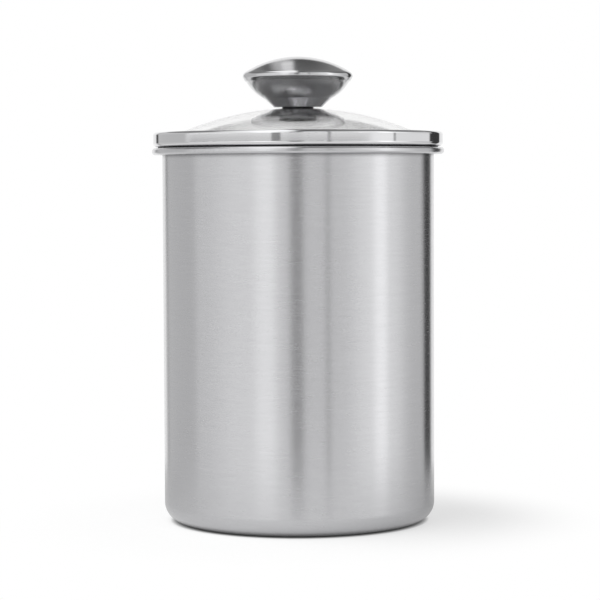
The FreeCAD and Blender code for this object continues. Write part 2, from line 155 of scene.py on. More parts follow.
class CanisterView(bpy.types.PropertyGroup):
    """Camera of the photograph."""
    distance: bpy.props.FloatProperty(
        name="Distance", description="Camera to the axis of the canister",
        default=1.019, unit="LENGTH", subtype="DISTANCE")
    height: bpy.props.FloatProperty(
        name="Height", description="Camera above the floor",
        default=0.156, unit="LENGTH", subtype="DISTANCE")
    lens: bpy.props.FloatProperty(
        name="Lens", description="Focal length on a 36 mm sensor, in millimetres", default=135.5)
    pitch: bpy.props.FloatProperty(
        name="Pitch", description="Tilt down from level", default=0.05566, subtype="ANGLE")
    roll: bpy.props.FloatProperty(
        name="Roll", description="Turn about the line of sight", default=-0.0045, subtype="ANGLE")
    yaw: bpy.props.FloatProperty(
        name="Yaw", description="Turn to the left", default=-0.00057, subtype="ANGLE")


# Node helper
def add_node(tree, kind, inputs=None, **settings):
    """Add a node with its settings; an input given as a socket is linked, any other is set."""
    node = tree.nodes.new(kind)
    for key, value in settings.items():
        setattr(node, key, value)
    for key, value in (inputs or {}).items():
        if isinstance(value, bpy.types.NodeSocket):
            tree.links.new(value, node.inputs[key])
        else:
            node.inputs[key].default_value = value
    return node


# Sections of turned pieces: lists of radius and height in metres
def rounded(corners, closed, steps=6):
    """Section through the corners; a corner given as radius, height and bend is rounded."""
    section = []
    count = len(corners)
    for i, (r, z, *bend) in enumerate(corners):
        if not bend or (not closed and i in (0, count - 1)):
            section.append((r, z))
            continue
        before, after = corners[i - 1], corners[(i + 1) % count]
        back = math.atan2(before[1] - z, before[0] - r)
        ahead = math.atan2(after[1] - z, after[0] - r)
        opening = (ahead - back + math.pi) % math.tau - math.pi
        middle = back + opening / 2
        reach = bend[0] / math.sin(abs(opening) / 2)
        centre = (r + reach * math.cos(middle), z + reach * math.sin(middle))
        sweep = math.copysign(math.pi - abs(opening), opening)
        for step in range(steps + 1):
            angle = middle + math.pi + sweep * (0.5 - step / steps)
            section.append((centre[0] + bend[0] * math.cos(angle),
                            centre[1] + bend[0] * math.sin(angle)))
    return section


def arc(centre, radius, start, end, steps):
    """Points of an arc; angles in radians from the radial direction."""
    return [(centre[0] + radius * math.cos(start + (end - start) * i / steps),
             centre[1] + radius * math.sin(start + (end - start) * i / steps))
            for i in range(steps + 1)]


def held(section, closed):
    """Section with points near both ends of each long straight, which keep its shading flat."""
    points = []
    count = len(section)
    for i, (r, z) in enumerate(section):
        points.append((r, z))
        if i == count - 1 and not closed:
            break
        next_r, next_z = section[(i + 1) % count]
        share = HOLD_GAP / max(math.hypot(next_r - r, next_z - z), POLE_MERGE)
        if share < HOLD_GAP / LONG_STRAIGHT:
            points += [(r + (next_r - r) * t, z + (next_z - z) * t) for t in (share, 1 - share)]
    return points


def cap_radius(reach, rise):
    """Radius of the arc that rises this much over this reach."""
    return (reach * reach + rise * rise) / (2 * rise)


def turning_tree():
    """Geometry Nodes tree that sweeps a section round the Z axis."""
    tree = bpy.data.node_groups.get("Turned piece")
    if tree:
        return tree
    tree = bpy.data.node_groups.new("Turned piece", "GeometryNodeTree")
    for name, kind in (("Section", "Geometry"), ("Segments", "Int"), ("Spindle radius", "Float"),
                       ("Pole merge", "Float"), ("Material", "Material")):
        tree.interface.new_socket(name, in_out="INPUT", socket_type="NodeSocket" + kind)
    tree.interface.new_socket("Piece", in_out="OUTPUT", socket_type="NodeSocketGeometry")
    given = add_node(tree, "NodeGroupInput").outputs
    curve = add_node(tree, "GeometryNodeMeshToCurve", {"Mesh": given["Section"]})
    inward = add_node(tree, "ShaderNodeMath", {0: 0.0, 1: given["Spindle radius"]},
                      operation="SUBTRACT")
    shift = add_node(tree, "ShaderNodeCombineXYZ", {"X": inward.outputs[0]})
    moved = add_node(tree, "GeometryNodeTransform",
                     {"Geometry": curve.outputs["Curve"], "Translation": shift.outputs[0]})
    ring = add_node(tree, "GeometryNodeCurvePrimitiveCircle",
                    {"Resolution": given["Segments"], "Radius": given["Spindle radius"]})
    swept = add_node(tree, "GeometryNodeCurveToMesh",
                     {"Curve": ring.outputs["Curve"], "Profile Curve": moved.outputs["Geometry"]})
    merged = add_node(tree, "GeometryNodeMergeByDistance",
                      {"Geometry": swept.outputs["Mesh"], "Distance": given["Pole merge"]})
    smooth = add_node(tree, "GeometryNodeSetShadeSmooth",
                      {"Geometry": merged.outputs["Geometry"]})
    real = add_node(tree, "GeometryNodeRealizeInstances",
                    {"Geometry": smooth.outputs["Geometry"]})
    clad = add_node(tree, "GeometryNodeSetMaterial",
                    {"Geometry": real.outputs["Geometry"], "Material": given["Material"]})
    add_node(tree, "NodeGroupOutput", {"Piece": clad.outputs["Geometry"]})
    return tree


def turned_piece(name, section, closed, material, segments=256):
    """Mesh object of a section swept round the Z axis, at the origin."""
    tree = turning_tree()
    section = held(section, closed)
    count = len(section)
    edges = [(i, i + 1) for i in range(count - 1)] + ([(count - 1, 0)] if closed else [])
    flat = bpy.data.meshes.new(name + "_section")
    flat.from_pydata([(r, -z, 0.0) for r, z in section], edges, [])
    carrier = bpy.data.objects.new(name + "_section", flat)
    bpy.context.scene.collection.objects.link(carrier)
    modifier = carrier.modifiers.new("Turning", "NODES")
    modifier.node_group = tree
    values = {"Segments": segments, "Spindle radius": SPINDLE, "Pole merge": POLE_MERGE,
              "Material": material}
    for item in tree.interface.items_tree:
        if item.in_out == "INPUT" and item.name in values:
            modifier[item.identifier] = values[item.name]
    evaluated = carrier.evaluated_get(bpy.context.evaluated_depsgraph_get())
    mesh = bpy.data.meshes.new_from_object(evaluated)
    mesh.name = name
    carrier.modifiers.remove(modifier)
    bpy.data.objects.remove(carrier)
    bpy.data.meshes.remove(flat)
    mesh.set_sharp_from_angle(angle=SHARP_ANGLE)
    piece = bpy.data.objects.new(name, mesh)
    bpy.context.scene.collection.objects.link(piece)
    return piece


def seat_piece(piece, body, node):
    """Piece in place of a CAD node, on its body."""
    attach(piece, body)
    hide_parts(node)


# Finishes
NOISE_SPAN = (0.3, 0.7)      # where most values of a noise lie
BROAD_LINES = (2.5, 2.0)     # pitch and run of the broad lines, in those of the fine lines
GLOSS_SPREAD = 0.1           # share by which the lines change the roughness
ACROSS_LINES = 0.25          # share of a turn that draws highlights out across the lines
CREASE_SHADE_SPAN = (0.5, 0.95)    # how open a spot is, from full painted shade to none
CREASE_SHADE = 0.3           # painted shade in a crease, as a share of the colour in the lines
BORE_ROUGHNESS = 0.5         # rolled finish left inside the canister


def new_material(name):
    """Material with an empty tree."""
    material = bpy.data.materials.new(name)
    material.use_nodes = True
    material.node_tree.nodes.clear()
    return material, material.node_tree


def turned_places(tree):
    """Place on the piece by axis, and its distance from the Z axis."""
    coords = add_node(tree, "ShaderNodeTexCoord")
    axes = add_node(tree, "ShaderNodeSeparateXYZ", {"Vector": coords.outputs["Object"]}).outputs
    around = add_node(tree, "ShaderNodeCombineXYZ", {"X": axes["X"], "Y": axes["Y"]})
    radius = add_node(tree, "ShaderNodeVectorMath", {0: around.outputs[0]}, operation="LENGTH")
    return axes, radius.outputs["Value"]


def brush_lines(tree, pitch, run):
    """Streaks round the Z axis: pitch across them, run along them, in millimetres."""
    axes, radius = turned_places(tree)
    across = add_node(tree, "ShaderNodeMath", {0: radius, 1: axes["Z"]}, operation="ADD")
    field = add_node(tree, "ShaderNodeCombineXYZ",
                     {"X": axes["X"], "Y": axes["Y"], "Z": across.outputs[0]})
    along, over = 1 / (run * MM), 1 / (pitch * MM)
    scaled = add_node(tree, "ShaderNodeMapping",
                      {"Vector": field.outputs[0], "Scale": (along, along, over)})
    noise = add_node(tree, "ShaderNodeTexNoise",
                     {"Vector": scaled.outputs[0], "Scale": 1.0, "Detail": 2.0, "Roughness": 0.6})
    return noise.outputs["Fac"]


def painted_crease_shade(tree, tint, deep, width):
    """Tint with painted shade in folds narrower than the width, in millimetres."""
    open_side = add_node(tree, "ShaderNodeAmbientOcclusion", {"Distance": width * MM},
                         samples=8, only_local=True)
    crease_unshaded = add_node(tree, "ShaderNodeMapRange", {
        "Value": open_side.outputs["AO"],
        "From Min": CREASE_SHADE_SPAN[0], "From Max": CREASE_SHADE_SPAN[1]})
    # painted shade: a darker copy of the line colour, laid into the creases
    dull = tuple(channel * CREASE_SHADE for channel in deep)
    return add_node(tree, "ShaderNodeMix", {
        "Factor": crease_unshaded.outputs["Result"], "A": (*dull, 1.0), "B": tint.outputs["Result"]},
        data_type="RGBA")


def matt_bore(tree, gloss, radius, low):
    """Roughness that is matt within the radius and above the low end, in metres."""
    axes, away = turned_places(tree)
    within = add_node(tree, "ShaderNodeMath", {0: away, 1: radius}, operation="LESS_THAN")
    above = add_node(tree, "ShaderNodeMath", {0: axes["Z"], 1: low}, operation="GREATER_THAN")
    matt = add_node(tree, "ShaderNodeMath", {0: within.outputs[0], 1: above.outputs[0]},
                    operation="MULTIPLY")
    return add_node(tree, "ShaderNodeMix", {
        "Factor": matt.outputs[0], "A": gloss.outputs["Result"], "B": BORE_ROUGHNESS},
        data_type="FLOAT")


def steel(name, pale, deep, roughness, anisotropy, pitch, run, relief, crease_shade_width=0.0, bore=None):
    """Steel worked round the Z axis; its lines draw the highlights out across them.

    Pitch and run of the lines, relief and the width of painted crease shade are in
    millimetres. A bore is given as radius and low end in metres.
    """
    material, tree = new_material(name)
    broad = brush_lines(tree, pitch * BROAD_LINES[0], run * BROAD_LINES[1])
    fine = brush_lines(tree, pitch, run)
    tint = add_node(tree, "ShaderNodeMix", {
        "Factor": broad, "A": (*pale, 1.0), "B": (*deep, 1.0)}, data_type="RGBA")
    # painted shade in folds narrower than the given width
    if crease_shade_width:
        tint = painted_crease_shade(tree, tint, deep, crease_shade_width)
    gloss = add_node(tree, "ShaderNodeMapRange", {
        "Value": fine, "From Min": NOISE_SPAN[0], "From Max": NOISE_SPAN[1],
        "To Min": roughness * (1 - GLOSS_SPREAD), "To Max": roughness * (1 + GLOSS_SPREAD)})
    if bore:
        gloss = matt_bore(tree, gloss, *bore)
    bump = add_node(tree, "ShaderNodeBump",
                    {"Height": fine, "Strength": 1.0, "Distance": relief * MM})
    turn = add_node(tree, "ShaderNodeTangent", direction_type="RADIAL", axis="Z")
    shader = add_node(tree, "ShaderNodeBsdfPrincipled", {
        "Base Color": tint.outputs["Result"], "Metallic": 1.0,
        "Roughness": gloss.outputs["Result"],
        "Anisotropic": anisotropy, "Anisotropic Rotation": ACROSS_LINES,
        "Normal": bump.outputs["Normal"], "Tangent": turn.outputs["Tangent"]})
    add_node(tree, "ShaderNodeOutputMaterial", {"Surface": shader.outputs["BSDF"]})
    return material


def brushed_stainless(colours, sizes):
    # 18/8 stainless sheet, satin brushed round the wall: upright soft bands, fine level lines.
    # Real lines are about 0.1 mm apart; they are drawn 0.4 mm apart so that they show.
    # The fold under the rim gets painted crease shade, and the inside wall isn't brushed.
    return steel("Brushed stainless steel", colours.body_steel, colours.body_line,
                 roughness=0.25, anisotropy=0.8, pitch=0.4, run=6.5, relief=0.0006, crease_shade_width=2.0,
                 bore=(sizes.body_radius - sizes.sheet / 2, sizes.base_corner))


def polished_stainless(colours):
    # 18/8 stainless strip, rolled and buffed: sharp reflections, the faintest roll lines.
    # Real lines are finer than 0.1 mm; they are drawn 0.6 mm apart so that they show.
    return steel("Polished stainless steel", colours.band_steel, colours.band_line,
                 roughness=0.07, anisotropy=0.4, pitch=0.6, run=40.0, relief=0.0002)


def spun_crown(colours):
    # Stainless sheet spun to a crown and buffed: clear highlights with faint rings.
    # Real rings are finer than 0.1 mm; they are drawn 0.5 mm apart so that they show.
    return steel("Buffed stainless steel", colours.knob_steel, colours.knob_line,
                 roughness=0.13, anisotropy=0.2, pitch=0.5, run=12.0, relief=0.0003)


def spun_bowl(colours):
    # Stainless sheet spun to a bowl and left satin: highlights drawn out up and down.
    # Its rings are drawn 0.5 mm apart, like the crown's.
    return steel("Spun stainless steel", colours.bowl_steel, colours.bowl_line,
                 roughness=0.2, anisotropy=0.5, pitch=0.5, run=12.0, relief=0.0004)


def plain_stainless(colours):
    # Stamped and machined stainless fittings: dull, with a turned surface.
    return steel("Plain stainless steel", colours.hardware_steel, colours.hardware_dull,
                 roughness=0.35, anisotropy=0.4, pitch=0.3, run=4.0, relief=0.002)


def tempered_glass(colours):
    # Pressed soda lime glass, tempered: clear, with the faint waves that pressing leaves.
    wave_run, wave_relief = 22.0 * MM, 0.002 * MM
    haze_run, haze_roughness = 9.0 * MM, 0.015
    material, tree = new_material("Tempered glass")
    coords = add_node(tree, "ShaderNodeTexCoord")
    wave = add_node(tree, "ShaderNodeTexNoise",
                    {"Vector": coords.outputs["Object"], "Scale": 1 / wave_run, "Detail": 1.0})
    haze = add_node(tree, "ShaderNodeTexNoise",
                    {"Vector": coords.outputs["Object"], "Scale": 1 / haze_run, "Detail": 3.0})
    gloss = add_node(tree, "ShaderNodeMapRange", {
        "Value": haze.outputs["Fac"], "From Min": NOISE_SPAN[0], "From Max": NOISE_SPAN[1],
        "To Max": haze_roughness})
    bump = add_node(tree, "ShaderNodeBump",
                    {"Height": wave.outputs["Fac"], "Strength": 1.0, "Distance": wave_relief})
    shader = add_node(tree, "ShaderNodeBsdfPrincipled", {
        "Base Color": (*colours.glass_clear, 1.0), "Transmission Weight": 1.0, "IOR": 1.52,
        "Roughness": gloss.outputs["Result"], "Normal": bump.outputs["Normal"]})
    add_node(tree, "ShaderNodeOutputMaterial", {"Surface": shader.outputs["BSDF"]})
    return material


def food_silicone(name, plain, bloomed):
    # Moulded silicone rubber: soft matt sheen with a paler bloom and a fine grain.
    material = bpy.data.materials.get(name)
    if material:
        return material
    bloom_run, bloom_roughness = 3.0 * MM, (0.45, 0.62)
    grain_run, grain_relief = 0.4 * MM, 0.03 * MM
    material, tree = new_material(name)
    coords = add_node(tree, "ShaderNodeTexCoord")
    bloom = add_node(tree, "ShaderNodeTexNoise",
                     {"Vector": coords.outputs["Object"], "Scale": 1 / bloom_run, "Detail": 5.0})
    grain = add_node(tree, "ShaderNodeTexNoise",
                     {"Vector": coords.outputs["Object"], "Scale": 1 / grain_run, "Detail": 2.0})
    tint = add_node(tree, "ShaderNodeMix", {
        "Factor": bloom.outputs["Fac"], "A": (*plain, 1.0), "B": (*bloomed, 1.0)},
        data_type="RGBA")
    gloss = add_node(tree, "ShaderNodeMapRange", {
        "Value": bloom.outputs["Fac"], "From Min": NOISE_SPAN[0], "From Max": NOISE_SPAN[1],
        "To Min": bloom_roughness[0], "To Max": bloom_roughness[1]})
    bump = add_node(tree, "ShaderNodeBump",
                    {"Height": grain.outputs["Fac"], "Strength": 0.4, "Distance": grain_relief})
    shader = add_node(tree, "ShaderNodeBsdfPrincipled", {
        "Base Color": tint.outputs["Result"], "IOR": 1.43,
        "Roughness": gloss.outputs["Result"], "Normal": bump.outputs["Normal"]})
    add_node(tree, "ShaderNodeOutputMaterial", {"Surface": shader.outputs["BSDF"]})
    return material


# Silicone for the lid gasket and the knob's seat washer; its charcoal colour is partly painted
# shade of the gaps it sits in.
def gap_shade_silicone(colours):
    return food_silicone("Gap shade silicone", colours.silicone_gap_shade, colours.silicone_bloom)


def grey_silicone(colours):
    return food_silicone("Grey silicone", colours.silicone_grey, colours.grey_bloom)


# Operators
class CANISTER_OT_body(bpy.types.Operator):
    """Drawn steel body with its curled rim and recessed base"""
    bl_idname = "canister.body"
    bl_label = "Canister body"

    def execute(self, context):
        s = context.scene.canister_sizes
        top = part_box("canister_body")[HIGH][Z]
        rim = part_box("canister_body")[HIGH][X]
        bore = s.body_radius - s.sheet
        ring = s.body_radius - s.base_corner - s.base_ring
        panel = ring - s.base_step
        low = top - s.rim_height
        edge = s.body_radius + s.rim_gap
        step_bend, cut_bend = 0.8 * MM, 0.15 * MM
        section = rounded([
            (0.0, s.base_recess),
            (panel, s.base_recess, step_bend),
            (ring, 0.0, step_bend),
            (s.body_radius, 0.0, s.base_corner),
            (s.body_radius, top - s.sheet, s.neck_bend),
            (rim - s.sheet, top - s.sheet, s.rim_bend - s.sheet),
            (rim - s.sheet, low + s.sheet, s.rim_bend - s.sheet),
            (edge, low + s.sheet, cut_bend),
            (edge, low, cut_bend),
            (rim, low, s.rim_bend),
            (rim, top, s.rim_bend),
            (bore, top, s.neck_bend + s.sheet),
            (bore, s.sheet, s.base_corner - s.sheet),
            (ring, s.sheet, step_bend),
            (panel, s.base_recess + s.sheet, step_bend),
            (0.0, s.base_recess + s.sheet),
        ], closed=False, steps=16)
        finish = brushed_stainless(context.scene.canister_colours, s)
        seat_piece(turned_piece("canister_shell", section, False, finish),
                   "canister", "canister_body")
        return {"FINISHED"}


class CANISTER_OT_gasket(bpy.types.Operator):
    """Silicone gasket with two lips inside the mouth"""
    bl_idname = "canister.gasket"
    bl_label = "Lid gasket"

    def execute(self, context):
        s = context.scene.canister_sizes
        low, high = (corner[Z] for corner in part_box("lid_gasket"))
        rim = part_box("canister_body")[HIGH][Z]
        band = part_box("lid_band")
        bore = s.body_radius - s.sheet
        skirt = bore - s.skirt_gap
        inner = skirt - s.skirt_sheet
        lip = bore - s.lip_gap
        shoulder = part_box("canister_body")[HIGH][X] - s.rim_bend - s.shoulder_inset
        groove = band[HIGH][X] - s.band_low_lip - s.groove_gap
        bead = band[HIGH][X] - s.band_low_bend - s.bead_gap
        groove_low = band[LOW][Z]
        groove_top = groove_low + s.band_sheet
        upper, lower = rim - s.upper_lip, rim - s.lower_lip
        soft, fine = 0.35 * MM, 0.12 * MM
        section = rounded([
            (inner, high, soft),
            (bead, high, soft),
            (bead, groove_top, fine),
            (groove, groove_top, fine),
            (groove, groove_low, fine),
            (shoulder, groove_low, fine),
            (shoulder, rim, soft),
            (skirt, rim, soft),
            (skirt, upper, soft),
            (lip, upper, fine),
            (lip, upper - s.lip_tip, fine),
            (skirt, upper - s.lip_root, soft),
            (skirt, lower, soft),
            (lip, lower, fine),
            (lip, lower - s.lip_tip, fine),
            (skirt, lower - s.lip_root, soft),
            (skirt, low, soft),
            (inner, low, soft),
        ], closed=True, steps=4)
        # charcoal silicone, partly painted shade of the gap between band and rim
        finish = gap_shade_silicone(context.scene.canister_colours)
        seat_piece(turned_piece("gasket_ring", section, True, finish),
                   "seal", "lid_gasket")
        return {"FINISHED"}


class CANISTER_OT_band(bpy.types.Operator):
    """Polished band folded round the edge of the glass"""
    bl_idname = "canister.band"
    bl_label = "Lid band"

    def execute(self, context):
        s = context.scene.canister_sizes
        low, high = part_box("lid_band")
        radius, bottom, top = high[X], low[Z], high[Z]
        inside = radius - s.band_sheet
        cut_bend = 0.2 * MM
        section = rounded([
            (radius - s.band_top_lip, top - s.band_sheet, cut_bend),
            (radius - s.band_top_lip, top, cut_bend),
            (radius, top, s.band_top_bend),
            (radius, bottom, s.band_low_bend),
            (radius - s.band_low_lip, bottom, cut_bend),
            (radius - s.band_low_lip, bottom + s.band_sheet, cut_bend),
            (inside, bottom + s.band_sheet, s.band_low_bend - s.band_sheet),
            (inside, top - s.band_sheet, s.band_top_bend - s.band_sheet),
        ], closed=True, steps=10)
        finish = polished_stainless(context.scene.canister_colours)
        seat_piece(turned_piece("rim_band", section, True, finish),
                   "lid", "lid_band")
        return {"FINISHED"}


def dome_places(s):
    """Radius and centre height of the outside of the dome."""
    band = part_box("lid_band")
    reach = band[HIGH][X] - s.band_top_lip - s.brim_show
    radius = cap_radius(reach, s.dome_rise + s.band_sheet)
    return radius, band[HIGH][Z] + s.dome_rise - radius


class CANISTER_OT_glass(bpy.types.Operator):
    """Domed tempered glass with a flat brim and a centre hole"""
    bl_idname = "canister.glass"
    bl_label = "Lid glass"

    def execute(self, context):
        s = context.scene.canister_sizes
        radius, middle = dome_places(s)
        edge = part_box("lid_glass")[HIGH][X]
        brim_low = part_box("lid_glass")[LOW][Z]
        brim = brim_low + s.glass
        hollow = brim + s.dome_blend
        far = math.sqrt((radius + s.dome_blend) ** 2 - (hollow - middle) ** 2)
        lean = math.atan2(hollow - middle, far)
        inside = radius - s.glass
        hole = math.acos(s.glass_hole / radius)
        hole_inside = math.acos(s.glass_hole / inside)
        section = arc((0.0, middle), radius, hole, lean, 48)
        section += arc((far, hollow), s.dome_blend, lean - math.pi, -math.pi / 2, 12)[1:]
        section += rounded([
            (far, brim), (edge, brim, s.glass_edge), (edge, brim_low, s.glass_edge),
            (far, brim_low)], closed=False, steps=8)[1:]
        section += arc((far, hollow), s.dome_blend + s.glass, -math.pi / 2, lean - math.pi, 12)[1:]
        section += arc((0.0, middle), inside, lean, hole_inside, 48)[1:]
        finish = tempered_glass(context.scene.canister_colours)
        seat_piece(turned_piece("dome_glass", section, True, finish),
                   "lid", "lid_glass")
        return {"FINISHED"}


class CANISTER_OT_knob(bpy.types.Operator):
    """Hollow knob: a crown hemmed round a bowl on a foot cone"""
    bl_idname = "canister.knob"
    bl_label = "Lid knob"

    def execute(self, context):
        s = context.scene.canister_sizes
        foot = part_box("knob_bowl")[LOW][Z]
        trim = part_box("knob_bowl")[HIGH][Z]
        hem_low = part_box("knob_cap")[LOW][Z]
        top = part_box("knob_cap")[HIGH][Z]
        edge = top - s.crown_rise
        crown = cap_radius(s.knob_radius, s.crown_rise)
        thin = crown - s.knob_sheet
        crown_centre = (0.0, top - crown)
        fold = s.knob_radius - s.hem_fold
        fold_angle = math.acos(fold / thin)
        fold_height = crown_centre[1] + thin * math.sin(fold_angle)
        foot_bend, foot_inset = 0.4 * MM, 0.2 * MM
        hem_bend, hem_inner_bend = 0.15 * MM, 0.1 * MM
        skin_back, under_back = 1.15, 1.2    # from the edge to the end of an arc, in edge rounds

        waist_height = foot + s.foot_height
        mouth, mouth_height = fold - s.seam_gap, fold_height - s.seam_gap
        out, up = mouth - s.waist_radius, mouth_height - waist_height
        chord = math.hypot(out, up)
        bend = cap_radius(chord / 2, s.bowl_bulge)
        depth = bend - s.bowl_bulge
        centre = ((mouth + s.waist_radius) / 2 - depth * up / chord,
                  (mouth_height + waist_height) / 2 + depth * out / chord)
        start = math.atan2(waist_height - centre[1], s.waist_radius - centre[0])
        end = math.asin((trim - centre[1]) / bend)
        end_inside = math.asin((trim - centre[1]) / (bend - s.knob_sheet))
        outer = rounded([
            (s.screw_bore, foot), (s.foot_radius, foot, foot_bend),
            (s.waist_radius, waist_height)], closed=False, steps=5)
        outer = outer[:-1] + arc(centre, bend, start, end, 28)
        inner = arc(centre, bend - s.knob_sheet, end_inside, start, 28)
        inner += [(s.foot_radius - foot_inset, foot + s.knob_sheet),
                  (s.screw_bore, foot + s.knob_sheet)]
        bowl = turned_piece("knob_shell", outer + inner, True,
                            spun_bowl(context.scene.canister_colours))
        seat_piece(bowl, "lid", "knob_bowl")

        hem_reach = centre[0] + s.seam_gap + math.sqrt(bend ** 2 - (hem_low - centre[1]) ** 2)
        skin_end = math.asin(1 - s.crown_rise / crown) + skin_back * s.knob_edge / crown
        under_end = fold_angle + under_back * s.knob_edge / crown
        skin = arc(crown_centre, crown, math.pi / 2, skin_end, 44)
        under = arc(crown_centre, thin, under_end, math.pi / 2, 32)
        hem = rounded([
            skin[-1],
            (s.knob_radius, edge, s.knob_edge),
            (hem_reach + s.knob_sheet, hem_low, hem_bend),
            (hem_reach, hem_low, hem_inner_bend),
            (fold, fold_height, s.knob_edge - s.knob_sheet),
            under[0],
        ], closed=False, steps=12)
        section = [(max(r, 0.0), z) for r, z in skin[:-1] + hem + under[1:]]
        cap = turned_piece("knob_crown", section, False,
                           spun_crown(context.scene.canister_colours))
        seat_piece(cap, "lid", "knob_cap")
        return {"FINISHED"}


class CANISTER_OT_fastening(bpy.types.Operator):
    """Washers, grommet, screw and nut that hold the knob"""
    bl_idname = "canister.fastening"
    bl_label = "Knob fastening"

    def execute(self, context):
        s = context.scene.canister_sizes
        radius, middle = dome_places(s)
        inside = radius - s.glass
        colours = context.scene.canister_colours
        # charcoal silicone for the seat washer, partly painted shade under the knob's foot
        dark = gap_shade_silicone(colours)
        grey = grey_silicone(colours)
        hard = plain_stainless(colours)

        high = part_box("knob_washer")[HIGH]
        reach = high[X]
        section = arc((0.0, middle), radius, math.acos(reach / radius),
                      math.acos(s.screw_bore / radius), 6)
        section += [(s.screw_bore, high[Z]), (reach, high[Z])]
        seat_piece(turned_piece("seat_washer", section, True, dark, segments=96),
                   "lid", "knob_washer")

        low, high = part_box("lid_grommet")
        reach = high[X]
        sleeve = s.glass_hole - s.sleeve_gap
        section = [(s.screw_bore, low[Z]), (reach, low[Z])]
        section += arc((0.0, middle), inside, math.acos(reach / inside),
                       math.acos(sleeve / inside), 6)
        section += arc((0.0, middle), radius, math.acos(sleeve / radius),
                       math.acos(s.screw_bore / radius), 4)
        seat_piece(turned_piece("glass_grommet", section, True, grey, segments=96),
                   "lid", "lid_grommet")

        low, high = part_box("lower_washer")
        reach, sheet = high[X], high[Z] - low[Z]
        seat_bend, edge_bend = 0.1 * MM, 0.4 * MM
        section = rounded([
            (s.washer_seat, low[Z], seat_bend),
            (reach, low[Z], edge_bend),
            (reach, high[Z], edge_bend),
            (s.washer_seat - sheet, high[Z]),
        ], closed=True, steps=6)
        seat_piece(turned_piece("plate_washer", section, True, hard, segments=128),
                   "lid", "lower_washer")
        for name in ("knob_screw", "knob_nut"):
            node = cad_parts[name]
            node.data.materials.clear()
            node.data.materials.append(hard)
        return {"FINISHED"}


# Studio: panels round the canister, by azimuth from the camera and by elevation, in degrees
WALL_LEVEL = 0.87
WALL_PANELS = (
    # name, middle, half width, soft edge, level
    ("backdrop", 180.0, 27.0, 3.0, 1.0),
    ("left rear wall", -124.0, 28.0, 3.0, 0.69),
    ("left edge", -148.0, 3.5, 2.0, 0.5),
    ("left glow", -44.0, 26.0, 20.0, 1.08),
    ("left softbox", -27.0, 9.0, 6.0, 1.36),
    ("camera gap", -1.5, 5.0, 3.0, 0.27),
    ("light stand", 24.6, 1.6, 1.2, 0.38),
    ("right glow", 71.0, 24.0, 12.0, 1.16),
    ("right softbox", 73.2, 6.5, 4.0, 1.58),
    ("right rear wall", 124.0, 18.0, 12.0, 0.7),
    ("black flag", 141.5, 9.0, 1.5, 0.05),
)
WALL_TOP = 24.5                      # elevation where the walls end
WALL_TOPS = (
    # name, middle, half width, soft edge, elevation where this part of the walls ends
    ("backdrop", 180.0, 8.0, 5.0, 28.5),
    ("front wall", 0.0, 80.0, 20.0, 36.0),
)
WALL_TOP_SOFT = 2.0                  # soft edge along the top of the walls

# Strip at the height of the lid, seen in the polished band
STRIP_HEIGHT = (1.0, 1.4, 0.6)       # elevation: middle, half width, soft edge
STRIP_LEVEL = 0.93
STRIP_PANELS = (
    # name, middle, half width, soft edge, level
    ("left rear wall", -122.0, 23.5, 3.0, 0.62),
    ("left edge", -149.0, 3.6, 2.0, 0.1),
    ("dark card", -17.0, 3.5, 1.0, 0.24),
    ("light stand", 24.2, 1.2, 0.8, 0.48),
    ("right softbox", 70.5, 11.0, 4.0, 1.06),
    ("panel joint", 81.6, 1.2, 0.8, 0.4),
    ("black flag", 139.5, 12.0, 2.0, 0.05),
)
FRONT_WALL = (-20.0, 76.0, 8.0)      # wall by the camera: middle, half width, soft edge
FRONT_RISE = (0.64, 1.5)             # elevations between which it goes from dark to bright
FRONT_LEVELS = (0.05, 1.8)

# Ceiling, with widths in shares of its height above the canister
CEILING_RISE = (38.0, 66.0)          # elevations between which its level changes
CEILING_LEVELS = (0.12, 0.2)
CEILING_STRIPS = (
    # name, middle, half width and soft edge across, level
    ("left ceiling", -1.0, 0.6, 0.12, 0.3),
    ("right ceiling", 0.75, 0.45, 0.2, 0.3),
    ("top glow", -0.18, 0.11, 0.07, 0.62),
)
CEILING_BOXES = (
    # name, middle, half width and soft edge across, the same along, level
    ("top softbox", (-0.115, 0.065, 0.025), (0.0, 1.3, 0.3), 0.98),
    ("front softbox", (-0.45, 0.42, 0.08), (-0.7, 0.8, 0.1), 1.5),
)
GROUND_EDGE = (-12.0, -20.0)         # elevations between which the walls meet the ground
GROUND_LEVEL = 0.85
FILL_LEVEL = 0.45                    # light on matt surfaces from all sides

# Table, in metres
TABLE_RADIUS = 0.21
TABLE_SIDES = 128
TABLE_DROP = 0.1 * MM                # below the base, so that the two faces don't mix
TABLE_FADE = (0.08, 0.14)            # radii between which the shadow fades into white
TABLE_SHADE = 0.37                   # grey that takes the shadow
TABLE_LIFT = 0.61                    # what is added to it to make white
MIRROR_SPAN = (-0.12, 0.05)          # front to back of the table, as steel mirrors it, over which the painted light changes
MIRROR_LIFT = (0.58, 0.26)           # what is added there: painted light, brighter at the front
CONTACT_REACH = 2.0 * MM             # width of the painted contact shadow under the base

KEY_TOWARD = (-0.46, -0.12, 0.88)    # from the canister to the key lamp
KEY_SPREAD = math.radians(50)
KEY_STRENGTH = 2.1
SENSOR_WIDTH = 36.0                  # millimetres


def panel_weight(tree, value, middle, half, soft):
    """One where a value lies inside a panel, zero outside; angles in radians wrap round."""
    offset = add_node(tree, "ShaderNodeMath", {0: value, 1: middle}, operation="SUBTRACT")
    turn = add_node(tree, "ShaderNodeMath", {0: offset.outputs[0], 1: math.pi, 2: -math.pi},
                    operation="WRAP")
    away = add_node(tree, "ShaderNodeMath", {0: turn.outputs[0]}, operation="ABSOLUTE")
    return add_node(tree, "ShaderNodeMapRange", {
        "Value": away.outputs[0], "From Min": half + soft, "From Max": half - soft},
        interpolation_type="SMOOTHSTEP").outputs["Result"]


